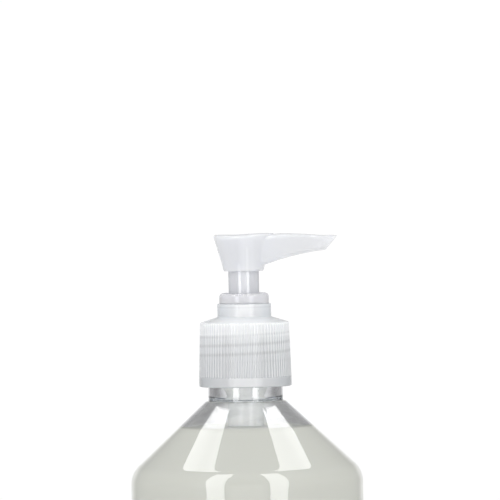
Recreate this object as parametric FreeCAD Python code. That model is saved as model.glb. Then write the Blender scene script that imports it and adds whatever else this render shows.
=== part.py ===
import FreeCAD, Part
import math
import os

# Pump oil bottle, 500 ml: bottle, oil, threaded closure and a pump with its
# actuator. Millimetres, +Z up, origin at the centre of the bottle's base on
# the plane it stands on, nozzle along +X.
# In the names below R is a radius and Z a height; Z0 is a foot and Z1 a top.

os.makedirs("parts", exist_ok=True)
Vector = FreeCAD.Vector
ORIGIN = Vector(0, 0, 0)
X_AXIS = Vector(1, 0, 0)
Y_AXIS = Vector(0, 1, 0)
Z_AXIS = Vector(0, 0, 1)

# ---------------------------------------------------------- shared dimensions
# bottle
BODY_R = 34.0
WALL = 0.6
BASE_WALL = 1.0
IN_R = BODY_R - WALL
BASE_CORNER_R = 5.5
BASE_RING_R = 25.5      # inner edge of the resting ring
PUSH_UP = 4.6           # height of the pushed-up base at its centre
CONE_FOOT_Z = 138.1     # where the cone line meets the body radius
CONE_SLOPE = 0.9333     # rise per unit of radius, 43 degrees
CONE_DROP = 0.95        # inner cone line below the outer one, at the body wall
SHOULDER_R = 7.2        # rounding between body and cone
NECK_Z = 159.0          # foot of the neck
NECK_R = 10.93
BORE_R = 9.4
BORE_FOOT_Z = 160.0
FINISH_Z = 178.0        # sealing land
# thread ridges, shared by bottle and closure
PITCH = 2.70
RIDGE_ROOT_WIDTH = 1.70
RIDGE_CREST_WIDTH = 0.60
RIDGE_FADE = 40.0       # degrees over which a ridge end sinks away
RIDGE_STEPS = 24        # points per turn
NECK_CREST_R = 11.95
CAP_CREST_R = 11.27
CAP_RIDGE_Z = 175.8     # centre of the closure's ridge at -Y
NECK_RIDGE_LIFT = 0.985  # bottle's ridge above the closure's
# oil
OIL_Z = 151.5
OIL_GAP = 0.03          # between oil and bottle
OIL_SLANT = 1.37        # vertical share of that gap under the cone
PUMP_GAP = 0.06         # between oil and pump
# closure
CAP_Z0 = 163.25
CAP_R_LOW = 13.65       # outside radius at the lower rim
CAP_R_TOP = 13.08       # outside radius at the top of the skirt
CAP_SKIRT_Z = 181.4     # top of the skirt
CAP_BAND_Z = 166.1      # the ribs end here, a plain band lies below
CAP_IN_R = 12.25
BOSS_R = 7.9
BOSS_Z0 = 183.6
BOSS_Z1 = 187.48
GROOVES = 84
GROOVE_DEPTH = 0.26
# gasket and pump housing
GASKET_IN_R = 7.3
FLANGE_R = 11.2
FLANGE_Z0 = FINISH_Z + 1.0     # on top of the gasket
FLANGE_Z1 = FLANGE_Z0 + 1.2
HOUSE_NECK_R = 7.2
WIDE_R = 6.7
WIDE_BORE_R = 5.70
CHAMBER_R = 5.35
CHAMBER_BORE_R = 4.45
CHAMBER_Z0 = 130.0      # floor of the chamber
TAPER_Z0 = 126.0        # foot of the taper below the chamber
TAIL_R = 4.0
TAIL_Z = 111.0
SOCKET_TOP_Z = 123.0    # top of the tail's socket for the dip tube
SEAT_APEX_Z = 123.8
BALL_R = 2.0
# dip tube
TUBE_R = 3.0
TUBE_IN_R = 2.3
TUBE_TOP_Z = SOCKET_TOP_Z - 0.1
TUBE_END_Z = 6.7
# stem, rod, piston, spring
STEM_R = 4.50
STEM_BORE_R = 2.0
STEM_TOP_Z = 202.4
STEM_RING_R = 5.3
STEM_END_R = 3.4
STEM_END_Z = 157.0
ROD_R = 2.5
ROD_FOOT_R = 2.4
ROD_FOOT_Z = 145.2
ROD_BORE_R = 1.1
ROD_BORE_Z = 149.6
ROD_TOP_Z = 163.0
ROD_PLUG_R = STEM_BORE_R - 0.02
ROD_FLANGE_R = 3.9
ROD_FLANGE_Z0 = 147.2
ROD_FLANGE_Z1 = 148.8
PISTON_Z0 = ROD_FLANGE_Z1 + 0.02
PISTON_Z1 = 156.0
SPRING_WIRE_R = 0.40
SPRING_MEAN_R = 3.6
# chaplet, the knurled guide of the stem
CHAP_R = 7.3
CHAP_Z = 190.56
CHAP_ROUND = 1.15       # rounding of its top rim
CHAP_NECK_R = 6.75
GUIDE_R = STEM_R + 0.05
CHAP_PLUG_R = 6.10
CHAP_PLUG_Z = 174.0
KNURLS = 72
# actuator
SKIRT_Z = 197.0
BUTTON_R = 8.74         # radius of the finger pad's edge
BUTTON_Z = 207.2
BUTTON_FLARE = 0.30     # gain of radius per unit of height above that edge
BLANK_TOP_Z = 212.0     # top of the button before its face is trimmed
RIM_FILLET = 0.70
DISH_R = 7.75
DISH_DEPTH = 1.10
DISH_X = -0.1
DISH_RIM_Z = 207.62
TIP_TOP = (27.35, 206.62)      # x, z of the nozzle's slanted end
TIP_LOW = (24.1, 202.86)
RISER_R = 2.2
RISER_TOP_Z = 204.5


# ------------------------------------------------------------------- helpers
def profile_wire(points):
    """Closed wire in the XZ plane from (x, z, corner radius) points."""
    starts, ends, mids = [], [], []
    corners = [Vector(x, 0, z) for x, z, _ in points]
    count = len(points)
    for i, corner in enumerate(corners):
        radius = points[i][2]
        if radius <= 0:
            starts.append(corner)
            ends.append(corner)
            mids.append(None)
            continue
        back = (corners[i - 1] - corner).normalize()
        ahead = (corners[(i + 1) % count] - corner).normalize()
        half_angle = back.getAngle(ahead) / 2
        tangent = radius / math.tan(half_angle)
        inward = (back + ahead).normalize()
        centre = corner + inward * (radius / math.sin(half_angle))
        starts.append(corner + back * tangent)
        ends.append(corner + ahead * tangent)
        mids.append(centre - inward * radius)
    edges = []
    for i in range(count):
        if mids[i] is not None:
            edges.append(Part.Arc(starts[i], mids[i], ends[i]).toShape())
        following = starts[(i + 1) % count]
        if (following - ends[i]).Length > 1e-7:
            edges.append(Part.LineSegment(ends[i], following).toShape())
    return Part.Wire(edges)


def outward(shape):
    """The shape, turned right side out if its volume is negative."""
    if shape.Volume < 0:
        shape.reverse()
    return shape


def turned(points):
    """Solid of revolution about Z from (radius, z, corner radius) points."""
    return outward(Part.Face(profile_wire(points)).revolve(ORIGIN, Z_AXIS, 360))


def cylinder(radius, z0, z1):
    return Part.makeCylinder(radius, z1 - z0, Vector(0, 0, z0), Z_AXIS)


def closed_face(points):
    return Part.Face(Part.makePolygon(points + [points[0]]))


def ring_of(shape, count):
    """Copies of a shape spaced evenly about Z."""
    copies = []
    for i in range(count):
        turned_copy = shape.copy()
        turned_copy.rotate(ORIGIN, Z_AXIS, 360.0 * i / count)
        copies.append(turned_copy)
    return Part.makeCompound(copies)


def solid_of(shape):
    """The shape with split faces merged, unwrapped if it is a single solid."""
    result = shape
    # Merging can fail on thread and loft faces; the unmerged shape then stands.
    try:
        merged = shape.removeSplitter()
        if merged.isValid() and abs(merged.Volume - shape.Volume) < 1e-3 * abs(shape.Volume):
            result = merged
    except Part.OCCError:
        pass
    if len(result.Solids) == 1:
        return result.Solids[0]
    return result


def ridge(root_r, crest_r, mid_z, start, end):
    """Helical ridge between two angles in degrees, centred on mid_z at -Y."""
    steps = int(round((end - start) / 360.0 * RIDGE_STEPS))
    rows = [[], [], [], []]
    for i in range(steps + 1):
        angle = start + (end - start) * i / steps
        share = min(1.0, (angle - start) / RIDGE_FADE, (end - angle) / RIDGE_FADE)
        fade = 0.12 + 0.88 * math.sin(max(0.0, share) * math.pi / 2)
        faded_r = root_r + (crest_r - root_r) * fade
        half_root = RIDGE_ROOT_WIDTH / 2
        half_crest = (RIDGE_ROOT_WIDTH + (RIDGE_CREST_WIDTH - RIDGE_ROOT_WIDTH) * fade) / 2
        z = mid_z + PITCH * (angle + 90.0) / 360.0
        cosine, sine = math.cos(math.radians(angle)), math.sin(math.radians(angle))
        corners = [(root_r, -half_root), (faded_r, -half_crest),
                   (faded_r, half_crest), (root_r, half_root)]
        for row, (radius, offset) in zip(rows, corners):
            row.append(Vector(radius * cosine, radius * sine, z + offset))
    edges = []
    for row in rows:
        curve = Part.BSplineCurve()
        curve.interpolate(row)
        edges.append(curve.toShape())
    faces = [Part.makeRuledSurface(edges[i], edges[(i + 1) % 4]) for i in range(4)]
    for k in (0, -1):
        faces.append(closed_face([row[k] for row in rows]))
    shell = Part.makeShell(faces)
    shell.sewShape()
    return outward(Part.makeSolid(shell))


def save(name, shape):
    shape = solid_of(shape)
    if not shape.isValid():
        shape.fix(0.001, 0.001, 0.001)
    shape.exportStep("parts/" + name + ".step")


# ------------------------------------------------------------ bottle and oil
def cone_z(radius):
    """Height of the outer cone line."""
    return CONE_FOOT_Z + (BODY_R - radius) * CONE_SLOPE


IN_FOOT_Z = cone_z(IN_R) - CONE_DROP
IN_SLOPE = (BORE_FOOT_Z - IN_FOOT_Z) / (IN_R - BORE_R)


def inner_base(gap):
    """Points of the bottle's inner base, centre to wall, raised by a gap."""
    return [
        (0, PUSH_UP + BASE_WALL + gap, 0), (20.2, PUSH_UP - 0.2 + gap, 12.0),
        (BASE_RING_R + 0.3, BASE_WALL + gap, 2.4),
        (IN_R - gap, BASE_WALL + gap, BASE_CORNER_R - 0.7),
    ]


def make_bottle():
    outside = [
        (0, PUSH_UP, 0), (20.0, PUSH_UP - 1.2, 12.0), (BASE_RING_R, 0, 2.0),
        (BODY_R, 0, BASE_CORNER_R), (BODY_R, CONE_FOOT_Z, SHOULDER_R),
        (11.75, cone_z(11.75), 0.7), (NECK_R, NECK_Z + 0.02, 0.3), (NECK_R, FINISH_Z, 0.5),
    ]
    inside = [
        (BORE_R, FINISH_Z, 0.35), (BORE_R, BORE_FOOT_Z, 1.6),
        (IN_R, IN_FOOT_Z, SHOULDER_R - WALL),
    ] + inner_base(0)[::-1]
    thread = ridge(NECK_R - 0.35, NECK_CREST_R, CAP_RIDGE_Z + NECK_RIDGE_LIFT,
                   -90 - 640, -90 + 20)
    return turned(outside + inside).fuse(thread)


def make_oil():
    """Oil fills the bottle up to OIL_Z, less a channel for the pump."""
    cone_top = BORE_FOOT_Z - OIL_GAP * OIL_SLANT
    wall_r = IN_R - OIL_GAP
    surface_r = BORE_R + (cone_top - OIL_Z) / IN_SLOPE
    oil = turned(inner_base(OIL_GAP) + [
        (wall_r, cone_top - (wall_r - BORE_R) * IN_SLOPE, SHOULDER_R - WALL),
        (surface_r, OIL_Z, 0), (0, OIL_Z, 0),
    ])
    channel_foot = TUBE_END_Z - 0.1
    channel_top = OIL_Z + 1
    channel = turned([
        (0, channel_foot, 0), (TUBE_R + PUMP_GAP, channel_foot, 0),
        (TUBE_R + PUMP_GAP, TAIL_Z - PUMP_GAP, 0), (TAIL_R + PUMP_GAP, TAIL_Z - PUMP_GAP, 0),
        (TAIL_R + PUMP_GAP, TAPER_Z0 - PUMP_GAP, 0),
        (CHAMBER_R + PUMP_GAP, CHAMBER_Z0 - PUMP_GAP, 0),
        (CHAMBER_R + PUMP_GAP, channel_top, 0), (0, channel_top, 0),
    ])
    return oil.cut(channel)


# -------------------------------------------------------- closure and gasket
def make_closure():
    ceiling = FLANGE_Z1 + 0.05
    hole_r = CHAP_NECK_R + 0.08
    cap = turned([
        (CAP_IN_R + 0.35, CAP_Z0, 0.0), (CAP_R_LOW, CAP_Z0, 0.45),
        (CAP_R_TOP, CAP_SKIRT_Z, 0.0), (CAP_R_TOP - 0.03, 182.0, 0.5), (BOSS_R, BOSS_Z0, 0.25),
        (BOSS_R, BOSS_Z1, 0.25), (hole_r, BOSS_Z1, 0), (hole_r, ceiling, 0),
        (8.0, ceiling, 0.2), (8.15, 182.05, 0.4), (9.6, 181.9, 0.4), (10.3, ceiling, 0.2),
        (CAP_IN_R, ceiling, 0.4), (CAP_IN_R, CAP_Z0 + 0.4, 0),
    ])
    thread = ridge(CAP_IN_R + 0.30, CAP_CREST_R, CAP_RIDGE_Z, -90 - 420, -90 + 350)
    cap = solid_of(cap.fuse(thread))
    # grooves along the slightly conical skirt leave the upright ribs
    slope = (CAP_R_TOP - CAP_R_LOW) / (CAP_SKIRT_Z - CAP_Z0)
    band_r = CAP_R_LOW + slope * (CAP_BAND_Z - CAP_Z0)
    floor_r = band_r - GROOVE_DEPTH
    mouth_r = band_r + 0.6
    height = 183.0 - CAP_BAND_Z
    groove = closed_face([
        Vector(mouth_r, -0.42, CAP_BAND_Z), Vector(floor_r, -0.16, CAP_BAND_Z),
        Vector(floor_r, 0.16, CAP_BAND_Z), Vector(mouth_r, 0.42, CAP_BAND_Z),
    ]).extrude(Vector(slope * height, 0, height))
    return cap.cut(ring_of(groove, GROOVES))


def make_gasket():
    return turned([(GASKET_IN_R, FINISH_Z, 0), (FLANGE_R, FINISH_Z, 0),
                   (FLANGE_R, FLANGE_Z0, 0), (GASKET_IN_R, FLANGE_Z0, 0)])


# ---------------------------------------------------------------------- pump
def make_housing():
    ledge_z = CHAP_PLUG_Z - 0.2
    seat_r = 2.4
    inlet_r = 1.2
    house = turned([
        # outside, tail to flange
        (TUBE_R, TAIL_Z, 0), (TAIL_R, TAIL_Z, 0.3), (TAIL_R, TAPER_Z0, 1.0),
        (CHAMBER_R, CHAMBER_Z0, 1.0), (CHAMBER_R, 160.5, 1.0), (WIDE_R, 163.0, 1.0),
        (WIDE_R, 173.0, 0.4), (HOUSE_NECK_R, 173.8, 0.4), (HOUSE_NECK_R, FLANGE_Z0, 0),
        (FLANGE_R, FLANGE_Z0, 0.2), (FLANGE_R, FLANGE_Z1, 0.2),
        # inside, flange to tube socket
        (CHAP_PLUG_R, FLANGE_Z1, 0), (CHAP_PLUG_R, ledge_z, 0), (WIDE_BORE_R, ledge_z, 0),
        (WIDE_BORE_R, 164.6, 0.4), (CHAMBER_BORE_R, 162.0, 0.4),
        (CHAMBER_BORE_R, CHAMBER_Z0, 0.2), (seat_r, CHAMBER_Z0, 0.1),
        (seat_r, SEAT_APEX_Z + seat_r, 0), (inlet_r, SEAT_APEX_Z + inlet_r, 0),
        (inlet_r, SOCKET_TOP_Z, 0), (TUBE_R, SOCKET_TOP_Z, 0),
    ])
    # nibs that keep the ball in
    for angle in (30, 150, 270):
        nib = Part.makeBox(1.1, 0.9, 0.7, Vector(1.70, -0.45, 128.95))
        nib.rotate(ORIGIN, Z_AXIS, angle)
        house = house.fuse(nib)
    vent = Part.makeCylinder(0.5, 4, Vector(4.0, 0, 167.5), X_AXIS)
    return house.cut(vent)


def make_chaplet():
    shoulder_z = BOSS_Z1 + 0.02
    recess_z = CHAP_Z - 1.35
    chaplet = turned([
        (GUIDE_R, CHAP_PLUG_Z, 0.25), (CHAP_PLUG_R, CHAP_PLUG_Z, 0.3),
        (CHAP_PLUG_R, FLANGE_Z1, 0), (CHAP_NECK_R, FLANGE_Z1, 0), (CHAP_NECK_R, shoulder_z, 0),
        (CHAP_R, shoulder_z, 0.15), (CHAP_R, CHAP_Z, CHAP_ROUND), (6.20, CHAP_Z, 0),
        (6.15, CHAP_Z - 1.0, 0.2), (5.2, recess_z, 0.2), (GUIDE_R, recess_z, 0.15),
    ])
    # one notch lies at 45 degrees across the rounded rim
    outline = [(0, -0.16), (-0.14, 0), (0, 0.16), (0.4, 0.4), (0.4, -0.4)]
    length = 3
    notch = closed_face([Vector(x, y, 0) for x, y in outline]).extrude(Vector(0, 0, length))
    notch.translate(Vector(0, 0, -length / 2))
    notch.rotate(ORIGIN, Y_AXIS, -45)
    inset = CHAP_ROUND - CHAP_ROUND * 0.7071
    notch.translate(Vector(CHAP_R - inset, 0, CHAP_Z - inset))
    return chaplet.cut(ring_of(notch, KNURLS))


def make_dip_tube():
    """Tube with a slanted lower end, its lowest point at -X."""
    tube = turned([(TUBE_IN_R, TUBE_END_Z, 0), (TUBE_R, TUBE_END_Z, 0),
                   (TUBE_R, TUBE_TOP_Z, 0), (TUBE_IN_R, TUBE_TOP_Z, 0)])
    below = Part.makeBox(30, 30, 20, Vector(-15, -15, -20))
    below.rotate(ORIGIN, Y_AXIS, -40)
    below.translate(Vector(-TUBE_R, 0, TUBE_END_Z + 0.02))
    return tube.cut(below)


def make_ball():
    """Ball resting just clear of its 45 degree seat."""
    ball = Part.makeSphere(BALL_R)
    ball.translate(Vector(0, 0, SEAT_APEX_Z + BALL_R * math.sqrt(2) + 0.015))
    return ball


def make_spring():
    """Spring from the chamber floor to the rod's flange, with closed end turns."""
    clearance = 0.01
    z_low = CHAMBER_Z0 + SPRING_WIRE_R + clearance
    z_high = ROD_FLANGE_Z0 - SPRING_WIRE_R - clearance
    end_turns = 1.0
    mid_turns = 6.0
    end_rise = 2 * SPRING_WIRE_R + 0.06
    mid_rise = (z_high - z_low) - 2 * end_rise
    total = 2 * end_turns + mid_turns
    steps = int(total * 16)
    path = []
    for i in range(steps + 1):
        turn = total * i / steps
        if turn <= end_turns:
            rise = end_rise * turn / end_turns
        elif turn >= total - end_turns:
            rise = end_rise + mid_rise + end_rise * (turn - (total - end_turns)) / end_turns
        else:
            rise = end_rise + mid_rise * (turn - end_turns) / mid_turns
        angle = 2 * math.pi * turn
        path.append(Vector(SPRING_MEAN_R * math.cos(angle), SPRING_MEAN_R * math.sin(angle),
                           z_low + rise))
    curve = Part.BSplineCurve()
    curve.interpolate(path)
    edge = curve.toShape()
    tangent = edge.tangentAt(edge.FirstParameter)
    wire_section = Part.Wire(Part.makeCircle(SPRING_WIRE_R, path[0], tangent))
    return outward(Part.Wire(edge).makePipeShell([wire_section], True, True))


def make_rod():
    step_z = STEM_END_Z - 0.01
    rod = turned([
        (0, ROD_FOOT_Z, 0), (ROD_FOOT_R, ROD_FOOT_Z, 0.5), (ROD_FOOT_R, ROD_FLANGE_Z0, 0),
        (ROD_FLANGE_R, ROD_FLANGE_Z0, 0.2), (ROD_FLANGE_R, ROD_FLANGE_Z1, 0.3),
        (ROD_R, ROD_FLANGE_Z1, 0), (ROD_R, step_z, 0.1), (ROD_PLUG_R, step_z, 0),
        (ROD_PLUG_R, ROD_TOP_Z, 0.3), (ROD_BORE_R, ROD_TOP_Z, 0),
        (ROD_BORE_R, ROD_BORE_Z, 0), (0, ROD_BORE_Z, 0),
    ])
    cross_hole = Part.makeCylinder(0.7, 8, Vector(-4, 0, 150.6), X_AXIS)
    return rod.cut(cross_hole)


def make_piston():
    """Sleeve on the rod with a lip at each end that runs in the chamber."""
    bore_r = ROD_R + 0.06
    sleeve_r = 3.3
    lip_r = CHAMBER_BORE_R - 0.05
    lip_z = PISTON_Z0 + 0.9
    return turned([
        (bore_r, PISTON_Z0, 0), (sleeve_r, PISTON_Z0, 0.15), (sleeve_r, 152.0, 0.3),
        (3.75, 152.0, 0.2), (4.05, lip_z, 0.0), (lip_r, lip_z, 0),
        (lip_r, PISTON_Z0 + 1.6, 0.2), (4.2, 151.6, 0.2), (4.2, 154.0, 0.2),
        (lip_r, 155.0, 0.2), (lip_r, 155.7, 0), (4.1, 155.7, 0), (3.8, 153.6, 0.2),
        (sleeve_r, 153.6, 0.3), (sleeve_r, PISTON_Z1, 0.15), (bore_r, PISTON_Z1, 0),
    ])


def make_stem():
    ring_top = CHAP_PLUG_Z - 0.05
    return turned([
        (STEM_BORE_R, STEM_END_Z, 0), (STEM_END_R, STEM_END_Z, 0.2), (STEM_END_R, 172.0, 0.5),
        (4.2, 172.4, 0.2), (STEM_RING_R, 172.6, 0.2), (STEM_RING_R, ring_top, 0.2),
        (STEM_R, ring_top, 0), (STEM_R, STEM_TOP_Z, 0.4), (STEM_BORE_R, STEM_TOP_Z, 0.2),
    ])


# ------------------------------------------------------------------ actuator
# x, z along the top of the button
TOP_LINE = [
    (-12, 207.80), (-8.06, 207.77), (-6.3, 207.70), (-4.54, 207.61),
    (-2.78, 207.56), (-1.03, 207.60), (0.73, 207.74), (2.49, 207.95),
    (4.25, 208.18), (6.0, 208.36), (7.4, 208.44), (12, 208.5),
]
# x, foot z, top z, half width at the top, half width at the foot
NOZZLE = [
    (0.0, 197.9, 206.0, 6.9, 3.9), (3.0, 198.0, 206.3, 6.9, 3.9),
    (5.6, 198.55, 206.95, 6.35, 3.8), (7.6, 199.20, 207.50, 5.55, 3.65),
    (10.0, 199.98, 207.78, 4.95, 3.5), (13.0, 200.84, 207.78, 4.50, 3.35),
    (16.5, 201.66, 207.62, 4.2, 3.2), (20.0, 202.31, 207.38, 3.95, 3.05),
    (24.0, 202.80, 207.08, 3.7, 2.9), (29.0, 203.15, 206.70, 3.45, 2.75),
]
# x, foot z, top z, half width at the top
DUCT = [
    (-3.6, 203.3, 205.5, 2.8), (3.0, 203.0, 205.7, 3.2), (7.0, 202.3, 206.4, 3.6),
    (10.0, 201.7, 206.8, 3.7), (13.0, 201.85, 206.95, 3.55), (18.0, 202.75, 206.7, 3.3),
    (24.0, 203.55, 206.3, 2.95), (31.0, 204.0, 205.85, 2.6),
]
DUCT_FOOT_SHARE = 0.80  # width at the duct's foot over that at its top


def section(x, foot_z, top_z, top_half, foot_half, top_round, foot_round):
    """Rounded four-sided section across X."""
    wire = profile_wire([
        (-foot_half, foot_z, foot_round), (foot_half, foot_z, foot_round),
        (top_half, top_z, top_round), (-top_half, top_z, top_round),
    ])
    wire.rotate(ORIGIN, Z_AXIS, 90)
    wire.translate(Vector(x, 0, 0))
    return wire


def make_button():
    button = turned([
        (0, SKIRT_Z, 0), (5.75, SKIRT_Z, 0.2), (6.02, SKIRT_Z + 0.5, 0.3), (6.28, 199.0, 7.0),
        (BUTTON_R, BUTTON_Z, 0.0),
        (BUTTON_R + (BLANK_TOP_Z - BUTTON_Z) * BUTTON_FLARE, BLANK_TOP_Z, 0),
        (0, BLANK_TOP_Z, 0),
    ])
    # trim everything above the top line
    reach = 12
    line = [Vector(x, -reach, z) for x, z in TOP_LINE]
    curve = Part.BSplineCurve()
    curve.interpolate(line)
    outline = [line[-1], Vector(reach, -reach, 214), Vector(-reach, -reach, 214), line[0]]
    sides = [Part.LineSegment(outline[i], outline[i + 1]).toShape() for i in range(3)]
    above = Part.Face(Part.Wire([curve.toShape()] + sides)).extrude(Vector(0, 2 * reach, 0))
    button = solid_of(button.cut(above))
    # The rim's fillet can fail on the curved top; the rim then stays sharp.
    try:
        rim = [edge for edge in button.Edges if edge.BoundBox.ZMin > 207.4]
        rounded = button.makeFillet(RIM_FILLET, rim)
        if rounded.isValid() and rounded.Volume > 0:
            button = rounded
    except Exception:
        pass
    sphere_r = (DISH_R ** 2 + DISH_DEPTH ** 2) / (2 * DISH_DEPTH)
    dish = Part.makeSphere(sphere_r)
    dish.translate(Vector(DISH_X, 0, DISH_RIM_Z - DISH_DEPTH + sphere_r))
    return button.cut(dish)


def make_nozzle():
    nozzle = Part.makeLoft([section(*station, 0.9, 1.5) for station in NOZZLE], True, False)
    # cut off at the slanted tip
    slant = math.degrees(math.atan2(TIP_TOP[0] - TIP_LOW[0], TIP_TOP[1] - TIP_LOW[1]))
    beyond = Part.makeBox(12, 20, 30, Vector(0, -10, -15))
    beyond.rotate(ORIGIN, Y_AXIS, slant)
    beyond.translate(Vector(TIP_LOW[0], 0, TIP_LOW[1]))
    return nozzle.cut(beyond)


def make_actuator():
    """Button and nozzle with a duct to the tip, a stem socket and a riser."""
    head = make_button().fuse(make_nozzle())
    duct = Part.makeLoft([
        section(x, foot_z, top_z, half, half * DUCT_FOOT_SHARE, 0.5, 0.8)
        for x, foot_z, top_z, half in DUCT
    ], True, True)
    head = head.cut(duct)
    head = head.cut(cylinder(STEM_R, SKIRT_Z - 1, STEM_TOP_Z + 0.05))
    return head.cut(cylinder(RISER_R, STEM_TOP_Z, RISER_TOP_Z))


save("bottle", make_bottle())
save("oil", make_oil())
save("closure", make_closure())
save("gasket", make_gasket())
save("pump_housing", make_housing())
save("chaplet", make_chaplet())
save("dip_tube", make_dip_tube())
save("inlet_ball", make_ball())
save("spring", make_spring())
save("piston_rod", make_rod())
save("piston", make_piston())
save("stem", make_stem())
save("actuator", make_actuator())
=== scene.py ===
"""A clear bottle of cloudy oil with a milky screw closure and a pump head.

The bottle stands upright on its base with its axis on z; the nozzle points to +x and the
camera looks from -y. The scene is in metres, outlines and dimensions are in millimetres.
"""
import math

import bmesh
import bpy
import numpy as np
from mathutils import Matrix, Vector


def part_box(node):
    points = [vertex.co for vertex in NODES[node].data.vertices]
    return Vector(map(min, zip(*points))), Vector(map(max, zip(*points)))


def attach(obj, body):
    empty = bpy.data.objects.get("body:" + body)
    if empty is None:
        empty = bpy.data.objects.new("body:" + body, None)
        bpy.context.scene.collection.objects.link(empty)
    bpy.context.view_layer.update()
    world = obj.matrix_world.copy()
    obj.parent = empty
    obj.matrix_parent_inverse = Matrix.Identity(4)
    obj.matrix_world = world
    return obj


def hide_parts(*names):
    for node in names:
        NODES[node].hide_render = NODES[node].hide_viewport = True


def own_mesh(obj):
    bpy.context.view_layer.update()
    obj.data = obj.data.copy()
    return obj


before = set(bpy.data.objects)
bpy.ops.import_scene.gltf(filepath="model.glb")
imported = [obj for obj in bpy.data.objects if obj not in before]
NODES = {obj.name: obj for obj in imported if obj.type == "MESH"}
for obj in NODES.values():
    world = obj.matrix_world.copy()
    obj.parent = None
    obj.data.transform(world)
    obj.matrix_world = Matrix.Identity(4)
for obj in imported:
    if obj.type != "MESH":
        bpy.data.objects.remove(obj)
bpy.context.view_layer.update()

MM = 0.001

# ----------------------------------------------------------------- dimensions (mm)
bottle_lo, bottle_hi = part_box("bottle")
closure_lo, closure_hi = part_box("closure")
chaplet_lo, chaplet_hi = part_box("chaplet")
stem_lo, stem_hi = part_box("stem")

BODY_R = round(bottle_hi.x * 1000, 2)
BASE_Z, FINISH_Z = bottle_lo.z * 1000, bottle_hi.z * 1000
OIL_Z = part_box("oil")[1].z * 1000
CAP_R = closure_hi.x * 1000
CAP_Z0, CAP_Z1 = closure_lo.z * 1000, closure_hi.z * 1000
CHAP_Z0, CHAP_Z1 = chaplet_lo.z * 1000, chaplet_hi.z * 1000
STEM_Z0, STEM_Z1 = stem_lo.z * 1000, stem_hi.z * 1000

RIBS = 84           # grooves round the closure
PITCH = 2.70        # thread pitch
THREAD_Z = 175.8    # height of the closure's thread at -90 degrees


# ------------------------------------------------------------------- mesh helpers
def between(start, end, count):
    """Evenly spaced points strictly between two points."""
    return [start + (end - start) * (j / (count + 1)) for j in range(1, count + 1)]


def corner_arc(before, corner, after, radius, arc_step):
    """Points of the arc that rounds one corner."""
    to_before, to_after = before - corner, after - corner
    to_before /= np.linalg.norm(to_before)
    to_after /= np.linalg.norm(to_after)
    angle = math.acos(max(-1, min(1, float(to_before @ to_after))))
    setback = radius / math.tan(angle / 2)
    middle = (to_before + to_after) / np.linalg.norm(to_before + to_after)
    centre = corner + middle * radius / math.sin(angle / 2)
    start, end = corner + to_before * setback - centre, corner + to_after * setback - centre
    first, last = math.atan2(start[1], start[0]), math.atan2(end[1], end[0])
    sweep = (last - first + math.pi) % (2 * math.pi) - math.pi
    count = max(3, int(abs(sweep) * radius / arc_step) + 1)
    angles = [first + sweep * j / count for j in range(count + 1)]
    return [centre + radius * np.array([math.cos(a), math.sin(a)]) for a in angles]


def rounded(corners, step, arc_step):
    """Closed outline: (r, z, corner radius) rows -> dense array of (r, z)."""
    places = [np.array([r, z], float) for r, z, _ in corners]
    count = len(corners)
    arcs = []
    for i, (_, _, radius) in enumerate(corners):
        if radius <= 0:
            arcs.append([places[i]])
        else:
            after = places[(i + 1) % count]
            arcs.append(corner_arc(places[i - 1], places[i], after, radius, arc_step))
    dense = []
    for i, arc in enumerate(arcs):
        dense += arc
        following = arcs[(i + 1) % count][0]
        gap = np.linalg.norm(following - dense[-1])
        dense += between(dense[-1], following, int(gap / step))
    outline = [dense[0]]
    for point in dense[1:]:
        if np.linalg.norm(point - outline[-1]) > 1e-4:
            outline.append(point)
    if np.linalg.norm(outline[0] - outline[-1]) < 1e-4:
        outline.pop()
    return np.array(outline)


def add_rows(outline, radius, tolerance, step):
    """Adds finer rows along the upright wall at the given radius, to carry a thread."""
    rows = []
    for i, point in enumerate(outline):
        following = outline[(i + 1) % len(outline)]
        rows.append(point)
        if abs(point[0] - radius) < tolerance and abs(following[0] - radius) < tolerance:
            rows += between(point, following, int(abs(following[1] - point[1]) / step))
    return np.array(rows)


def link(name, data):
    """New object in the scene."""
    ob = bpy.data.objects.new(name, data)
    bpy.context.scene.collection.objects.link(ob)
    return ob


def smooth(ob):
    for poly in ob.data.polygons:
        poly.use_smooth = True


def mesh_from(bm, name):
    mesh = bpy.data.meshes.new(name)
    bm.to_mesh(mesh)
    bm.free()
    return mesh


def lathe(name, outline, segments, relief=None):
    """Turned mesh from a closed (r, z) outline; relief(r, z, angle) -> new r, z."""
    rows = len(outline)
    angles = np.arange(segments) * 2 * math.pi / segments
    R = np.repeat(outline[:, 0][:, None], segments, 1)
    Z = np.repeat(outline[:, 1][:, None], segments, 1)
    T = np.repeat(angles[None, :], rows, 0)
    if relief is not None:
        R, Z = relief(R, Z, T)
    places = np.stack([R * np.cos(T), R * np.sin(T), Z], 2) * MM
    bm = bmesh.new()
    verts = []
    for i in range(rows):
        if outline[i, 0] < 1e-6:        # a row on the axis is a single point
            verts.append([bm.verts.new(places[i, 0])] * segments)
        else:
            verts.append([bm.verts.new(place) for place in places[i]])
    for i in range(rows):
        j = (i + 1) % rows
        for k in range(segments):
            m = (k + 1) % segments
            ring = list(dict.fromkeys([verts[i][k], verts[i][m], verts[j][m], verts[j][k]]))
            if len(ring) >= 3:
                bm.faces.new(ring)
    bmesh.ops.recalc_face_normals(bm, faces=bm.faces[:])
    ob = link(name, mesh_from(bm, name))
    smooth(ob)
    return ob


def crisp_edges(ob, degrees):
    """Keeps edges sharper than the angle crisp."""
    bm = bmesh.new()
    bm.from_mesh(ob.data)
    for edge in bm.edges:
        if len(edge.link_faces) == 2 and edge.calc_face_angle(0.0) > math.radians(degrees):
            edge.smooth = False
    bm.to_mesh(ob.data)
    bm.free()


def paint(ob, material):
    ob.data.materials.clear()
    ob.data.materials.append(material)


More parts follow.
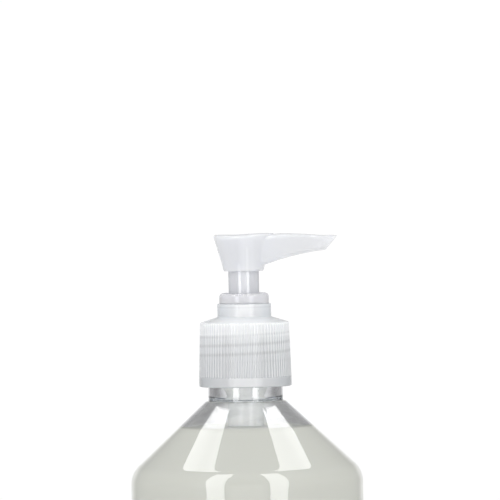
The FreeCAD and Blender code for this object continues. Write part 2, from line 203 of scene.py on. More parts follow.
def hand_over(ob, material, node, group):
    """Paints a finished piece, hides the CAD part it replaces and parents it to the body it
    moves with.
    """
    paint(ob, material)
    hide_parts(node)
    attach(ob, group)


# ------------------------------------------------------------------ shader helpers
class Graph:
    """Builds the node tree of a material or world; most methods return an output socket."""

    def __init__(self, owner):
        self.owner = owner
        owner.use_nodes = True
        self.tree = owner.node_tree
        self.tree.nodes.clear()

    def node(self, kind, inputs=None, **settings):
        """New node; an input is given a socket to link or a plain value."""
        node = self.tree.nodes.new("ShaderNode" + kind)
        for key, value in settings.items():
            setattr(node, key, value)
        for key, value in (inputs or {}).items():
            if isinstance(value, bpy.types.NodeSocket):
                self.tree.links.new(value, node.inputs[key])
            else:
                node.inputs[key].default_value = value
        return node

    def first(self, kind, inputs=None, **settings):
        return self.node(kind, inputs, **settings).outputs[0]

    def finish(self, shader, kind="OutputMaterial"):
        self.node(kind, {"Surface": shader})
        return self.owner

    def math(self, operation, *values):
        return self.first("Math", dict(enumerate(values)), operation=operation)

    def mul(self, a, b):
        return self.math("MULTIPLY", a, b)

    def add(self, a, b):
        return self.math("ADD", a, b)

    def sub(self, a, b):
        return self.math("SUBTRACT", a, b)

    def max(self, a, b):
        return self.math("MAXIMUM", a, b)

    def remap(self, value, span, to=(0.0, 1.0)):
        """Carries the span of values onto another, held at both ends."""
        return self.first("MapRange", {"Value": value, "From Min": span[0], "From Max": span[1],
                                       "To Min": to[0], "To Max": to[1]})

    def band(self, value, centre, half, soft):
        """1 within half of centre, falling to 0 over soft."""
        away = self.math("ABSOLUTE", self.sub(value, centre))
        return self.remap(away, span=(half, half + soft), to=(1.0, 0.0))

    def darken(self, amount, strength):
        """Factor 1 less strength times amount."""
        return self.sub(1.0, self.mul(amount, strength))

    def facing(self, span, to):
        """Remaps the view angle: 0 where the surface faces the viewer, 1 at grazing."""
        weight = self.node("LayerWeight", {"Blend": 0.5})
        return self.remap(weight.outputs["Facing"], span, to)

    def lerp(self, factor, a, b):
        return self.first("Mix", {0: factor, 2: a, 3: b}, data_type="FLOAT")

    def mix(self, factor, a, b):
        return self.first("MixShader", {0: factor, 1: a, 2: b})

    def scale(self, colour, factor):
        """Colour times a grey value."""
        return self.first("VectorMath", {0: colour, "Scale": factor}, operation="SCALE")

    def position(self):
        return self.node("TexCoord").outputs["Object"]

    def position_mm(self, axes):
        """Object coordinates in millimetres along the named axes."""
        parts = self.node("SeparateXYZ", {0: self.position()})
        return [self.mul(parts.outputs[axis], 1000.0) for axis in axes]

    def noise(self, scale, detail=3.0, roughness=0.5, stretch=None):
        place = self.position()
        if stretch is not None:
            place = self.first("Mapping", {"Vector": place, "Scale": stretch})
        inputs = {"Vector": place, "Scale": scale, "Detail": detail, "Roughness": roughness}
        return self.node("TexNoise", inputs).outputs["Fac"]

    def ramp(self, factor, *stops):
        """Colour ramp through two (position, colour) stops."""
        node = self.node("ValToRGB", {0: factor})
        for element, (position, colour) in zip(node.color_ramp.elements, stops):
            element.position = position
            element.color = (*colour, 1.0)
        return node.outputs[0]

    def bump(self, height, strength, distance):
        return self.first("Bump", {"Strength": strength, "Distance": distance, "Height": height})

    def principled(self, inputs):
        return self.first("BsdfPrincipled", inputs)

    def clear_shadow(self, shader, tint, share=1.0):
        """Lets shadow and diffuse rays through a clear wall, so what lies behind it is lit."""
        path = self.node("LightPath").outputs
        clear = self.max(path["Is Shadow Ray"], path["Is Diffuse Ray"])
        if share != 1.0:
            clear = self.mul(clear, share)
        # light caught inside a wall leaves it after a few turns instead of dying black
        clear = self.max(clear, self.math("GREATER_THAN", path["Ray Depth"], 6.5))
        return self.mix(clear, shader, self.first("BsdfTransparent", {"Color": (*tint, 1)}))


def new_material(name):
    return Graph(bpy.data.materials.new(name))


# ------------------------------------------------------- painted light and shade on the walls
def closure_painted_light(g, colour):
    """Painted light and shade for what shows through the closure: its inner thread, the flange
    above, the skirt below.
    """
    x, y, z = g.position_mm("XYZ")
    turn = g.math("DIVIDE", g.math("ARCTAN2", y, x), 2 * math.pi)

    # phase is 0 at the crest of the inner thread, 0.5 midway between two turns
    lead = g.math("DIVIDE", g.sub(z, THREAD_Z), PITCH)
    phase = g.math("FRACT", g.add(g.sub(lead, g.add(turn, 0.25)), 8.0))
    crest = g.remap(g.math("ABSOLUTE", g.sub(phase, 0.5)), span=(0.24, 0.46))
    threaded = g.mul(g.remap(z, span=(170.2, 173.0)),
                     g.remap(z, span=(179.0, 179.6), to=(1.0, 0.0)))
    # painted shade along the crests of the inner thread seen through the wall
    value = g.darken(g.mul(crest, threaded), strength=0.15)

    # (share of the closure's height, painted brightness): painted light and shade up the closure
    painted_brightness = [(0.0, 0.715), (0.10, 0.715), (0.125, 0.73), (0.33, 0.745), (0.44, 0.79),
                  (0.60, 0.86), (0.635, 1.0), (0.67, 0.97), (0.72, 1.0), (0.78, 1.0),
                  (0.85, 0.87), (1.0, 0.87)]
    by_height = g.node("FloatCurve", {"Value": g.remap(z, span=(CAP_Z0, CAP_Z1))})
    curve = by_height.mapping.curves[0]
    curve.points[0].location = painted_brightness[0]
    curve.points[1].location = painted_brightness[-1]
    for point in painted_brightness[1:-1]:
        curve.points.new(*point)
    by_height.mapping.update()
    value = g.mul(value, by_height.outputs[0])

    # painted light in the middle of the wall, where the white housing lies close behind it
    value = g.mul(value, g.facing(span=(0.010, 0.04), to=(1.20, 1.0)))

    # painted shade in the grooves, where the thinner wall has nothing white behind it
    groove = g.math("FRACT", g.add(g.mul(turn, float(RIBS)), 200.0))
    groove = g.remap(g.math("ABSOLUTE", g.sub(groove, 0.5)), span=(0.10, 0.40))
    grooved = g.mul(g.remap(z, span=(165.9, 166.2)),
                    g.remap(z, span=(170.0, 178.5), to=(1.0, 0.25)))
    grooved = g.mul(grooved, g.remap(z, span=(180.8, 181.6), to=(1.0, 0.0)))
    value = g.mul(value, g.darken(g.mul(groove, grooved), strength=0.05))

    # painted shade: the skirt's sides are deeper towards the rim, the boss's less so; painted
    # light keeps the dome light
    dome = g.band(z, centre=182.6, half=0.9, soft=0.4)
    boss = g.remap(z, span=(183.4, 183.8))
    sides = g.lerp(boss, g.facing(span=(0.15, 0.7), to=(1.0, 0.78)),
                   g.facing(span=(0.15, 0.7), to=(1.03, 0.92)))
    value = g.mul(value, g.lerp(dome, sides, 1.06))

    # two fine rings of painted shade round the boss, for two fine grooves the mesh does not
    # carry
    rings = g.max(g.band(z, centre=187.35, half=0.12, soft=0.15),
                  g.band(z, centre=186.45, half=0.10, soft=0.15))
    value = g.mul(value, g.darken(rings, strength=0.07))

    # painted cool tint: the light through the wall cools away from the middle
    cool = g.node("Mix", {0: g.facing(span=(0.03, 0.35), to=(0.0, 1.0)), 6: colour,
                          7: (0.965, 0.985, 1.0, 1)}, data_type="RGBA", blend_type="MULTIPLY")
    return g.scale(cool.outputs[2], value)


def bottle_painted_shade(g, colour):
    """Painted shade on clear walls with nothing behind them: grey towards their edges, with
    painted streaks.
    """
    z, = g.position_mm("Z")
    empty = g.remap(z, span=(OIL_Z - 0.2, OIL_Z + 0.2))
    neck = g.remap(z, span=(158.0, 160.5))
    # painted shade on the neck's sides, easing to a lighter rim
    neck_painted_shade = g.add(g.facing(span=(0.18, 0.48), to=(1.0, 0.33)),
                      g.facing(span=(0.66, 0.85), to=(0.0, 0.45)))
    # painted shade towards the edges of the empty cone and of the neck
    edge = g.lerp(neck, g.facing(span=(0.345, 0.50), to=(1.0, 0.46)), neck_painted_shade)
    # painted streaks where the curved wall shows darker surroundings
    painted_streak = g.noise(scale=160.0, roughness=0.6, stretch=(1.0, 1.0, 2.2))
    edge = g.mul(edge, g.remap(painted_streak, span=(0.25, 0.75), to=(0.84, 1.12)))
    return g.scale(colour, g.lerp(empty, 1.0, edge))


def stem_painted_rim_shade(g, colour):
    """Painted shade where the tube's wall is seen edge-on."""
    return g.scale(colour, g.facing(span=(0.45, 0.90), to=(1.0, 0.86)))


def head_painted_light(g, colour):
    """Painted shade bands and painted highlight streaks in the front of the milky head."""
    x, y, z = g.position_mm("XYZ")
    front = g.remap(y, span=(-0.5, 0.5), to=(1.0, 0.0))
    # painted shade in two upright bands
    value = g.darken(g.band(x, centre=-4.0, half=2.4, soft=1.6), strength=0.055)
    value = g.sub(value, g.mul(g.band(x, centre=4.2, half=0.7, soft=0.8), 0.03))
    # painted highlights: two thin upright streaks, the stem's highlights carried on up through
    # the head
    right_painted_highlight = g.mul(g.band(x, centre=1.15, half=0.20, soft=0.30),
                       g.remap(z, span=(203.0, 204.6), to=(1.0, 0.0)))
    left_painted_highlight = g.mul(g.band(x, centre=-1.35, half=0.2, soft=0.4),
                      g.remap(z, span=(198.5, 200.0), to=(1.0, 0.0)))
    painted_highlight = g.max(right_painted_highlight, left_painted_highlight)
    low = g.remap(z, span=(206.0, 206.6), to=(1.0, 0.0))
    value = g.lerp(g.mul(front, low), 1.0, value)
    painted_highlight_strength = 0.06
    value = g.add(value, g.mul(g.mul(painted_highlight, front), painted_highlight_strength))
    return g.scale(colour, value)


# ------------------------------------------------------------------------ materials
def clear_plastic(name, tint, ior, rough, wave=0.0, wave_scale=60.0,
                  shadow=(0.93, 0.94, 0.94), shade=None):
    """Clear wall with faint tint clouds; wave is the strength of its surface ripple."""
    g = new_material(name)
    clouds = g.noise(scale=wave_scale, detail=2.0, roughness=0.45)
    colour = g.ramp(clouds, (0.3, tint), (0.7, tuple(min(1, t * 1.01) for t in tint)))
    if shade is not None:
        colour = shade(g, colour)
    grit = g.noise(scale=900.0)
    inputs = {
        "Base Color": colour,
        "IOR": ior,
        "Transmission Weight": 1.0,
        "Roughness": g.remap(grit, span=(0.3, 0.7), to=(rough * 0.6, rough * 1.4 + 0.004)),
    }
    if wave:
        inputs["Normal"] = g.bump(clouds, strength=wave, distance=0.0003)
    return g.finish(g.clear_shadow(g.principled(inputs), shadow))


def milky_plastic(name, base, clear, rough, sss=0.8, radius=1.6, grain=0.15, shadow=0.35,
                  depth=None, spec=0.5, tint=(0.95, 0.96, 0.98), clear_rough=0.25,
                  edge=((0.25, 0.95), (1.0, 0.86))):
    """Milky scattering plastic mixed with a rough clear share.

    radius is the scattering radius in mm, shadow the share of shadow rays let through,
    edge the view-angle span and the painted brightness towards the rim, depth a function
    that paints light and shade onto what shows through.
    """
    g = new_material(name)
    ior = 1.49
    clouds = g.noise(scale=180.0, detail=4.0, roughness=0.6)
    colour = g.ramp(clouds, (0.25, tuple(c * 0.975 for c in base)), (0.75, base))
    # painted shade towards the rim, or painted light in the middle, by view angle
    if edge is not None:
        colour = g.scale(colour, g.facing(*edge))
    # painted light and shade from the depth function
    if depth is not None:
        colour = depth(g, colour)
    grit = g.noise(scale=2600.0, roughness=0.6)
    normal = g.bump(grit, strength=grain, distance=0.00002)
    milky = g.principled({
        "Base Color": colour,
        "Subsurface Weight": sss,
        "Subsurface Radius": (radius * MM, radius * MM, radius * 1.05 * MM),
        "Subsurface Scale": 1.0,
        "IOR": ior,
        "Specular IOR Level": spec,
        "Roughness": g.remap(grit, span=(0.3, 0.7), to=(rough * 0.85, rough * 1.15)),
        "Normal": normal,
    })
    see_through = g.principled({
        "Base Color": (*tint, 1),
        "Transmission Weight": 1.0,
        "Roughness": clear_rough,
        "IOR": ior,
        "Normal": normal,
    })
    return g.finish(g.clear_shadow(g.mix(clear, milky, see_through), tint, shadow))


def cloudy_oil():
    g = new_material("cloudy_oil")
    swirl = g.noise(scale=14.0, roughness=0.55)
    return g.finish(g.principled({
        "Base Color": g.ramp(swirl, (0.3, (0.645, 0.65, 0.60)), (0.7, (0.67, 0.675, 0.625))),
        "Subsurface Weight": 0.6,
        "Subsurface Radius": (0.004, 0.004, 0.0038),
        "Subsurface Scale": 1.0,
        "Roughness": 0.35,
        "Specular IOR Level": 0.15,
        "Normal": g.bump(g.noise(scale=500.0, detail=2.0), strength=0.02, distance=0.0001),
    }))


def drawn_steel():
    g = new_material("drawn_stainless")
    lines = g.noise(scale=1800.0, detail=4.0, roughness=0.6, stretch=(1, 1, 6))
    return g.finish(g.principled({
        "Metallic": 1.0,
        "Base Color": g.ramp(lines, (0.2, (0.5, 0.5, 0.51)), (0.8, (0.68, 0.68, 0.69))),
        "Roughness": g.remap(lines, span=(0.2, 0.8), to=(0.18, 0.36)),
        "Normal": g.bump(lines, strength=0.1, distance=0.00002),
    }))


def foam():
    g = new_material("foamed_polyethylene")
    cells = g.node("TexVoronoi", {"Scale": 3500.0, "Vector": g.position()}).outputs["Distance"]
    return g.finish(g.principled({
        "Base Color": g.ramp(cells, (0.0, (0.72, 0.72, 0.70)), (0.6, (0.86, 0.86, 0.84))),
        "Roughness": 0.7,
        "Subsurface Weight": 0.4,
        "Subsurface Radius": (0.001, 0.001, 0.001),
        "Subsurface Scale": 1.0,
        "Normal": g.bump(cells, strength=0.3, distance=0.0001),
    }))


PET = clear_plastic("clear_pet", tint=(0.985, 0.99, 0.99), ior=1.575, rough=0.004, wave=0.05,
                    wave_scale=45.0, shadow=(0.97, 0.975, 0.975), shade=bottle_painted_shade)
# the stem's colour carries painted light down its middle and painted shade at its rim
STEM = milky_plastic("clear_stem", base=(0.84, 0.85, 0.88), clear=0.15, rough=0.06, sss=0.3,
                     radius=0.6, grain=0.04, shadow=0.5, edge=((0.02, 0.10), (1.0, 0.90)),
                     depth=stem_painted_rim_shade, tint=(0.92, 0.92, 0.96), clear_rough=0.30, spec=0.8)
OIL = cloudy_oil()
# the closure's colour carries painted light and shade from its depth function
PP_CAP = milky_plastic("natural_pp_closure", base=(0.975, 0.985, 1.0), clear=0.10, rough=0.20,
                       sss=0.5, radius=1.1, grain=0.04, edge=None, depth=closure_painted_light,
                       spec=0.4)
PP_RING = milky_plastic("natural_pp_ring", base=(0.80, 0.80, 0.83), clear=0.12, rough=0.20,
                        radius=1.0, grain=0.08)
# the head's colour carries painted shade at its rim, painted shade bands and painted highlights
PP_HEAD = milky_plastic("natural_pp_head", base=(0.86, 0.87, 0.90), clear=0.08, rough=0.20,
                        grain=0.06, edge=((0.86, 1.0), (1.0, 0.84)), depth=head_painted_light)
# painted shade towards the housing's rim
PP_HOUSE = milky_plastic("natural_pp_housing", base=(0.94, 0.95, 0.945), clear=0.06,
                         rough=0.25, radius=1.0, edge=((0.2, 0.8), (1.0, 0.80)))
PP_ROD = milky_plastic("natural_pp_rod", base=(0.80, 0.80, 0.80), clear=0.15, rough=0.35)
LDPE = milky_plastic("ldpe_piston", base=(0.84, 0.84, 0.83), clear=0.10, rough=0.45)
TUBE = milky_plastic("ldpe_dip_tube", base=(0.80, 0.81, 0.81), clear=0.30, rough=0.3)
GLASS = clear_plastic("glass_ball", tint=(0.93, 0.97, 0.96), ior=1.52, rough=0.006)
STEEL = drawn_steel()
FOAM = foam()

# pieces that keep their CAD meshes
for node_name, material in (("gasket", FOAM), ("dip_tube", TUBE), ("inlet_ball", GLASS),
                            ("spring", STEEL), ("piston_rod", PP_ROD), ("piston", LDPE),
                            ("pump_housing", PP_HOUSE)):
    paint(NODES[node_name], material)
    smooth(NODES[node_name])


# --------------------------------------------------------------------------- thread
def ridge_height(Z, T, offset, first, last, root, height):
    """Height of a helical ridge over a wall at (z, angle).

    first and last are its end angles in degrees, root its width at the wall, and offset
    its shift in z from the closure's thread.
    """
    crest = 0.60        # width of the flat top
    fade = 40           # degrees over which the ends run out
    out = np.zeros_like(Z)
    degrees = np.degrees(T)
    for k in range(-4, 5):
        a = degrees + 360.0 * k
        inside = (a >= first) & (a <= last)
        run_out = np.clip(np.minimum((a - first) / fade, (last - a) / fade), 0, 1)
        run_out = np.sin(run_out * math.pi / 2)
        centre = THREAD_Z + PITCH * (a + 90.0) / 360.0
        away = np.abs(Z - (centre + offset))
        flank = np.clip((root / 2 - away) / ((root - crest) / 2), 0, 1)
        out = np.maximum(out, np.where(inside, flank * run_out * height, 0))
    return out


# --------------------------------------------------------------------------- bottle
INNER_R = BODY_R - 0.6              # the wall is 0.6 thick
FOOT_Z = 138.1                      # foot of the conical shoulder
SLOPE = 0.9333                      # fall of the shoulder per mm of radius
NECK_R = 10.93
MOUTH_R, MOUTH_Z = 9.4, 160.0       # bore of the neck and its lower end


def shoulder_z(r, drop=0.0):
    return FOOT_Z + (BODY_R - r) * SLOPE - drop


INNER_FOOT_Z = shoulder_z(INNER_R, 0.95)

# inside of the pushed-up base, from the axis out: r, z, corner radius
inner_base = [(0, 5.6, 0), (20.2, 4.4, 12.0), (25.8, 1.0, 2.4)]

# r, z, corner radius: up the outside, down the inside
bottle_corners = [
    (0, 4.6, 0), (20.0, 3.4, 12.0), (25.5, BASE_Z, 2.0), (BODY_R, BASE_Z, 5.5),
    (BODY_R, FOOT_Z, 7.2), (11.75, shoulder_z(11.75), 0.7), (NECK_R, 159.02, 0.3),
    (NECK_R, FINISH_Z, 0.5), (MOUTH_R, FINISH_Z, 0.35), (MOUTH_R, MOUTH_Z, 1.6),
    (INNER_R, INNER_FOOT_Z, 6.6), (INNER_R, 1.0, 4.8), *reversed(inner_base),
]


def neck_thread(R, Z, T):
    on_neck = (np.abs(R - NECK_R) < 0.02) & (Z > 160.0) & (Z < FINISH_Z - 0.5)
    ridge = ridge_height(Z, T, offset=0.985, first=-730, last=-70, root=1.40, height=1.02)
    return np.where(on_neck, R + ridge, R), Z


bottle_outline = add_rows(rounded(bottle_corners, step=1.2, arc_step=0.25),
                          radius=NECK_R, tolerance=0.02, step=0.14)
bottle = lathe("bottle_shell", bottle_outline, 192, neck_thread)
hand_over(bottle, PET, "bottle", "bottle")

# ------------------------------------------------------------------------------ oil
WET = 0.12              # the oil reaches this far into the wall, so no air gap is left
WET_RISE = WET * 1.37   # the same overlap measured upright on the shoulder
INNER_SLOPE = (MOUTH_Z - INNER_FOOT_Z) / (INNER_R - MOUTH_R)
OIL_R = INNER_R + WET
oil_foot_z = MOUTH_Z - (OIL_R - MOUTH_R) * INNER_SLOPE + WET_RISE
surface_r = MOUTH_R + (MOUTH_Z + WET_RISE - OIL_Z) / INNER_SLOPE

# r, z, corner radius: along the bottle's inside, in over the surface with its raised rim,
# then down the stepped hollow round the axis
oil_corners = [
    *[(r, z - WET, radius) for r, z, radius in inner_base],
    (OIL_R, 1.0 - WET, 4.8), (OIL_R, oil_foot_z, 6.6), (surface_r, OIL_Z, 0),
    (surface_r - 0.5, OIL_Z - 0.10, 0.25), (surface_r - 1.6, OIL_Z - 0.40, 0.6),
    (6.9, OIL_Z - 0.42, 0.3), (5.45, OIL_Z - 0.05, 0), (5.45, 130.0, 0), (4.1, 126.0, 0),
    (4.1, 111.0, 0), (3.1, 110.9, 0), (3.1, 6.6, 0), (0, 6.6, 0),
]
oil = lathe("oil_fill", rounded(oil_corners, step=2.0, arc_step=0.3), 160)
crisp_edges(oil, 60)
hand_over(oil, OIL, "oil", "bottle")

# -------------------------------------------------------------------------- closure
SKIRT_TOP_R, SKIRT_TOP_Z = CAP_R - 0.57, 181.4
BAND_Z = 166.1                      # top of the plain band under the grooves
CAP_BORE = 12.25                    # inner radius of the skirt
BOSS_R, BOSS_BORE = 7.9, 6.83
CEILING_Z = 180.25                  # underside of the top

# r, z, corner radius: up the outside, down the boss bore, out under the top
cap_corners = [
    (12.60, CAP_Z0, 0.0), (CAP_R, CAP_Z0, 0.45), (SKIRT_TOP_R, SKIRT_TOP_Z, 0.0),
    (SKIRT_TOP_R - 0.03, 182.0, 0.5), (BOSS_R, 183.6, 0.25), (BOSS_R, CAP_Z1, 0.25),
    (BOSS_BORE, CAP_Z1, 0), (BOSS_BORE, CEILING_Z, 0), (8.0, CEILING_Z, 0.2),
    (8.15, 182.05, 0.4), (9.6, 181.9, 0.4), (10.3, CEILING_Z, 0.2),
    (CAP_BORE, CEILING_Z, 0.4), (CAP_BORE, CAP_Z0 + 0.4, 0),
]


def cap_relief(R, Z, T):
    """Grooves outside, thread inside."""
    wall = CAP_R + (SKIRT_TOP_R - CAP_R) / (SKIRT_TOP_Z - CAP_Z0) * (Z - CAP_Z0)
    outer = (R > 12.7) & (Z > BAND_Z) & (Z < 182.6)
    phase = (T * RIBS / (2 * math.pi)) % 1.0
    from_groove = np.minimum(phase, 1 - phase)      # 0 in the middle of a groove
    depth = 0.20 * np.clip((0.40 - from_groove) / 0.16, 0, 1)
    start = np.clip((Z - BAND_Z) / 0.05, 0, 1)      # short ramp at the lower end
    R = np.where(outer, np.minimum(R, wall - depth * start), R)
    inner = (np.abs(R - CAP_BORE) < 0.03) & (Z < 179.9)
    ridge = ridge_height(Z, T, offset=0.0, first=-510, last=260, root=1.52, height=0.98)
    return np.where(inner, R - ridge, R), Z


def add_groove_ends(outline):
    """Adds rows on the outer wall exactly where the grooves begin."""
    rows = []
    for i, point in enumerate(outline):
        following = outline[(i + 1) % len(outline)]
        rows.append(point)
        if point[0] > 13 and following[0] > 13:
            for z in (BAND_Z, BAND_Z + 0.06):
                if point[1] < z < following[1]:
                    rise = following[1] - point[1]
                    rows.append(point + (following - point) * (z - point[1]) / rise)
    return np.array(rows)


cap_outline = add_rows(rounded(cap_corners, step=0.5, arc_step=0.1),
                       radius=CAP_BORE, tolerance=0.03, step=0.16)
closure = lathe("closure_shell", add_groove_ends(cap_outline), RIBS * 10, cap_relief)
crisp_edges(closure, 32)
hand_over(closure, PP_CAP, "closure", "cap")

# -------------------------------------------------------------------------- chaplet
TICKS = 72                          # notches round the top edge
GUIDE_R = 4.55                      # bore round the stem
COLLAR_R, COLLAR_ROUND = 7.3, 1.15  # top collar and its rounded edge
SLEEVE_R, SLEEVE_TOP_Z = 6.75, 187.50
GUIDE_TOP_Z = CHAP_Z1 - 1.35

# r, z, corner radius: up the outside, down the bore
chaplet_corners = [
    (GUIDE_R, CHAP_Z0, 0.25), (6.10, CHAP_Z0, 0.3), (6.10, 180.2, 0), (SLEEVE_R, 180.2, 0),
    (SLEEVE_R, SLEEVE_TOP_Z, 0), (COLLAR_R, SLEEVE_TOP_Z, 0.15),
    (COLLAR_R, CHAP_Z1, COLLAR_ROUND), (6.20, CHAP_Z1, 0), (6.15, CHAP_Z1 - 1.0, 0.2),
    (5.2, GUIDE_TOP_Z, 0.2), (GUIDE_R, GUIDE_TOP_Z, 0.15),
]


def collar_notches(R, Z, T):
    """Notches cut at 45 degrees into the collar's rounded edge."""
    centre_r, centre_z = COLLAR_R - COLLAR_ROUND, CHAP_Z1 - COLLAR_ROUND
    dr, dz = R - centre_r, Z - centre_z
    on_edge = (R > centre_r) & (Z > centre_z) & (np.hypot(dr, dz) > 1.0)
    phase = (T * TICKS / (2 * math.pi)) % 1.0
    from_notch = np.minimum(phase, 1 - phase)
    depth = 0.13 * np.clip((0.28 - from_notch) / 0.2, 0, 1)
    depth = depth * np.clip(1 - np.abs(np.arctan2(dz, dr) - math.pi / 4) / 0.75, 0, 1)
    shift = depth * 0.7071
    return np.where(on_edge, R - shift, R), np.where(on_edge, Z - shift, Z)


chaplet = lathe("chaplet_ring", rounded(chaplet_corners, step=0.6, arc_step=0.12),
                TICKS * 8, collar_notches)
crisp_edges(chaplet, 40)
hand_over(chaplet, PP_RING, "chaplet", "pump")

# --------------------------------------------------------------------------- spring
spring = link("return_spring", NODES["spring"].data.copy())
spring.matrix_world = NODES["spring"].matrix_world.copy()
hand_over(spring, STEEL, "spring", "pump")
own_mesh(spring)

# ----------------------------------------------------------------------------- stem
STEM_R, STEM_BORE = 4.50, 2.0
FLANGE_TOP_Z = 173.95

# r, z, corner radius: up the outside from the narrow lower end
stem_corners = [
    (STEM_BORE, STEM_Z0, 0), (3.4, STEM_Z0, 0.2), (3.4, 172.0, 0.5), (4.2, 172.4, 0.2),
    (5.3, 172.6, 0.2), (5.3, FLANGE_TOP_Z, 0.2), (STEM_R, FLANGE_TOP_Z, 0),
    (STEM_R, STEM_Z1, 0.4), (STEM_BORE, STEM_Z1, 0.2),
]
stem = lathe("stem_tube", rounded(stem_corners, step=1.0, arc_step=0.1), 128)
crisp_edges(stem, 40)
hand_over(stem, STEM, "stem", "head")


# ------------------------------------------------------------------------- actuator
def bake(ob):
    """Applies the object's modifiers."""
    depsgraph = bpy.context.evaluated_depsgraph_get()
    mesh = bpy.data.meshes.new_from_object(ob.evaluated_get(depsgraph))
    ob.modifiers.clear()
    ob.data = mesh


def add_relax(ob, name, iterations):
    relax = ob.modifiers.new(name, "SMOOTH")
    relax.factor = 0.5
    relax.iterations = iterations
    return relax


def blend_weights(mesh):
    """Weight per vertex round the root of the nozzle, in steps of 0.1."""
    places = np.empty(len(mesh.vertices) * 3)
    mesh.vertices.foreach_get("co", places)
    places = places.reshape(-1, 3) * 1000
    x, y, z = places[:, 0], np.abs(places[:, 1]), places[:, 2]

    def fade(distance, width):
        return np.clip(distance / width, 0, 1)

    near = fade(x - 3.5, 2.0) * fade(12.5 - x, 2.5) * fade(y - 2.0, 1.5)
    near *= fade(z - 198.2, 1.2) * fade(206.3 - z, 1.0)
    return np.round(near, 1)


head = link("actuator_head", NODES["actuator"].data.copy())
remesh = head.modifiers.new("remesh", "REMESH")
remesh.mode = "VOXEL"
remesh.voxel_size = 0.00017
remesh.use_smooth_shade = True
add_relax(head, "smooth", iterations=4)
bake(head)

# the nozzle grows out of the body with a soft blend
weights = blend_weights(head.data)
blend_group = head.vertex_groups.new(name="blend")
for weight in np.unique(weights):
    if weight > 0:
        members = [int(i) for i in np.nonzero(weights == weight)[0]]
        blend_group.add(members, float(weight), "REPLACE")
add_relax(head, "blend", iterations=120).vertex_group = "blend"
bake(head)
smooth(head)
hand_over(head, PP_HEAD, "actuator", "head")

# ---------------------------------------------------------------------------- floor
GROUND_WHITE = 1.02     # brightness of the ground and of the far floor


def pale_floor():
    """Matt pale sheet that fades into the white ground with distance."""
    g = new_material("floor_pale")
    clouds = g.noise(scale=3.0, detail=2.0)
    sheet = g.principled({
        "Base Color": g.ramp(clouds, (0.3, (0.86, 0.86, 0.86)), (0.7, (0.89, 0.89, 0.89))),
        "Roughness": 0.6,
    })
    distance = g.node("VectorMath", {0: g.position()}, operation="LENGTH").outputs["Value"]
    fade = g.remap(distance, span=(0.15, 0.75))
    return g.finish(g.mix(fade, sheet, g.first("Emission", {"Strength": GROUND_WHITE})))


floor_material = pale_floor()
bm = bmesh.new()
bmesh.ops.create_circle(bm, cap_ends=True, segments=96, radius=2.2)
floor = link("floor", mesh_from(bm, "floor"))
floor.location.z = bottle_lo.z - 0.0002
paint(floor, floor_material)
floor.visible_glossy = False

# --------------------------------------------------------------------------- lights
BANK_Z = 1.40
# x, y of the overhead bank on the +x side, its front edge running back and outwards
BANK_PLAN = [
    (0.37, 0.05), (0.31, -0.03), (0.46, -0.03), (0.52, 0.07), (0.66, 0.24), (0.76, 0.44),
    (0.80, 0.56), (0.87, 0.76), (0.74, 0.82), (0.62, 0.50), (0.50, 0.27), (0.44, 0.18),
]


def panel_glow():
    g = new_material("light_panel")
    clouds = g.noise(scale=6.0, detail=2.0)
    strength = g.remap(clouds, span=(0.3, 0.7), to=(4.0, 4.6))
    return g.finish(g.first("Emission", {"Strength": strength}))


def strip_light(name, side):
    """Tall strip in front, leaning in over the object."""
    foot, top = Vector((side * 0.512, -0.859, 0.0)), Vector((side * 0.34, -0.40, 1.40))
    lamp = bpy.data.lights.new(name, "AREA")
    lamp.shape = "RECTANGLE"
    lamp.size, lamp.size_y = 0.30, (top - foot).length
    lamp.energy = 6.5
    lamp.spread = math.pi
    strip = link(name, lamp)
    strip.location = (foot + top) / 2
    along = (top - foot).normalized()
    across = Vector((-foot.y, foot.x, 0.0))
    across = (across - along * across.dot(along)).normalized()
    turned = Matrix((across, along, across.cross(along))).transposed()
    strip.rotation_mode = "QUATERNION"
    strip.rotation_quaternion = turned.to_quaternion()
    strip.visible_camera = False
    strip.visible_diffuse = False


def overhead_bank(name, side, material):
    """Glowing sheet seen only in reflections and through clear walls."""
    mesh = bpy.data.meshes.new(name)
    corners = [(side * x, y, BANK_Z) for x, y in BANK_PLAN]
    mesh.from_pydata(corners, [], [list(range(len(corners)))])
    bank = link(name, mesh)
    paint(bank, material)
    bank.visible_camera = False
    bank.visible_diffuse = False
    bank.visible_shadow = False


panel_material = panel_glow()
for side, tag in ((-1, "l"), (1, "r")):
    strip_light("strip_" + tag, side)
    overhead_bank("top_" + tag, side, panel_material)


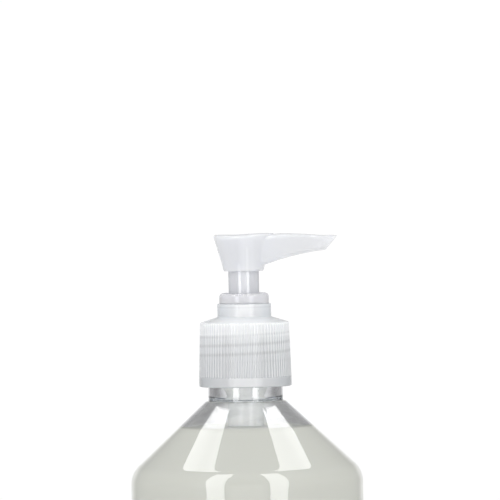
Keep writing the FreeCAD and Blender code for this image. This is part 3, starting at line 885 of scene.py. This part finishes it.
# ---------------------------------------------------------------------------- world
def studio(world):
    """White to the camera, with separate rooms for mirror, clear and matt surfaces."""
    g = Graph(world)
    generated = g.node("TexCoord").outputs["Generated"]
    x, y, z = g.node("SeparateXYZ", {0: generated}).outputs
    azimuth = g.math("ABSOLUTE", g.math("ARCTAN2", x, y))   # 0 behind, pi in front
    path = g.node("LightPath").outputs

    def by_azimuth(start, end, to):
        return g.remap(azimuth, span=(math.radians(start), math.radians(end)), to=to)

    # what mirrors see: a white backdrop of limited width, a grey room beside it
    low = g.remap(z, span=(0.12, 0.34), to=(1.0, 0.0))
    back = g.mul(by_azimuth(22, 40, to=(0.90, 0.0)), low)
    beside = by_azimuth(60, 160, to=(0.26, 0.20))
    front = g.mul(by_azimuth(156, 166, to=(0.0, 0.85)),
                  g.remap(z, span=(0.15, 0.5), to=(1.0, 0.0)))
    up = g.remap(z, span=(0.45, 0.95))
    mirror = g.lerp(up, g.max(g.max(back, beside), front), 0.35)

    # what is seen through clear walls: a pale grey ground, greyer off to the sides
    through = g.lerp(up, by_azimuth(12, 70, to=(0.80, 0.50)), 0.60)

    # what lights the matt surfaces: an even tent, a little brighter from front and above
    tent = g.add(g.remap(y, span=(-1.0, 1.0), to=(1.18, 1.02)),
                 g.remap(z, span=(-1.0, 1.0), to=(-0.02, 0.02)))

    clear_ray = path["Is Transmission Ray"]
    value = g.lerp(path["Is Diffuse Ray"], g.lerp(clear_ray, mirror, through), tent)
    cool = g.lerp(clear_ray, 1.0, 0.975)        # red and green fall behind clear walls
    colour = g.first("CombineColor", {0: g.mul(value, cool), 1: g.mul(value, cool), 2: value})
    room = g.first("Background", {"Color": colour})
    white = g.first("Background", {"Color": (1, 1, 1, 1), "Strength": GROUND_WHITE})
    g.finish(g.mix(path["Is Camera Ray"], room, white), kind="OutputWorld")


scene = bpy.context.scene
scene.world = bpy.data.worlds.new("studio")
studio(scene.world)

# --------------------------------------------------------------------------- render
scene.view_settings.view_transform = "Standard"
scene.view_settings.look = "None"
cycles_settings = {
    "max_bounces": 20,
    "transmission_bounces": 16,
    "glossy_bounces": 12,
    "diffuse_bounces": 4,
    "transparent_max_bounces": 24,
    "caustics_refractive": True,
    "caustics_reflective": True,
    "blur_glossy": 0.3,
    "sample_clamp_indirect": 6.0,
}
for key, value in cycles_settings.items():
    setattr(scene.cycles, key, value)

# --------------------------------------------------------------------------- camera
DISTANCE = 1.6
VIEW_WIDTH = 0.1465                 # width seen at the bottle's axis
VIEW_X, VIEW_Z = 0.0020, 0.2031     # centre of the view
RISE = 0.0319                       # camera height above the centre of the view
ROLL = math.radians(-1.0)
SENSOR = 36.0

lens = bpy.data.cameras.new("camera")
lens.sensor_width = SENSOR
lens.lens = SENSOR * DISTANCE / VIEW_WIDTH
lens.clip_start, lens.clip_end = 0.05, 50
camera = link("camera", lens)
tilt = math.atan2(RISE, DISTANCE)
camera.matrix_world = (Matrix.Translation(Vector((VIEW_X, -DISTANCE, VIEW_Z + RISE)))
                       @ Matrix.Rotation(math.radians(90) - tilt, 4, "X")
                       @ Matrix.Rotation(ROLL, 4, "Z"))
scene.camera = camera
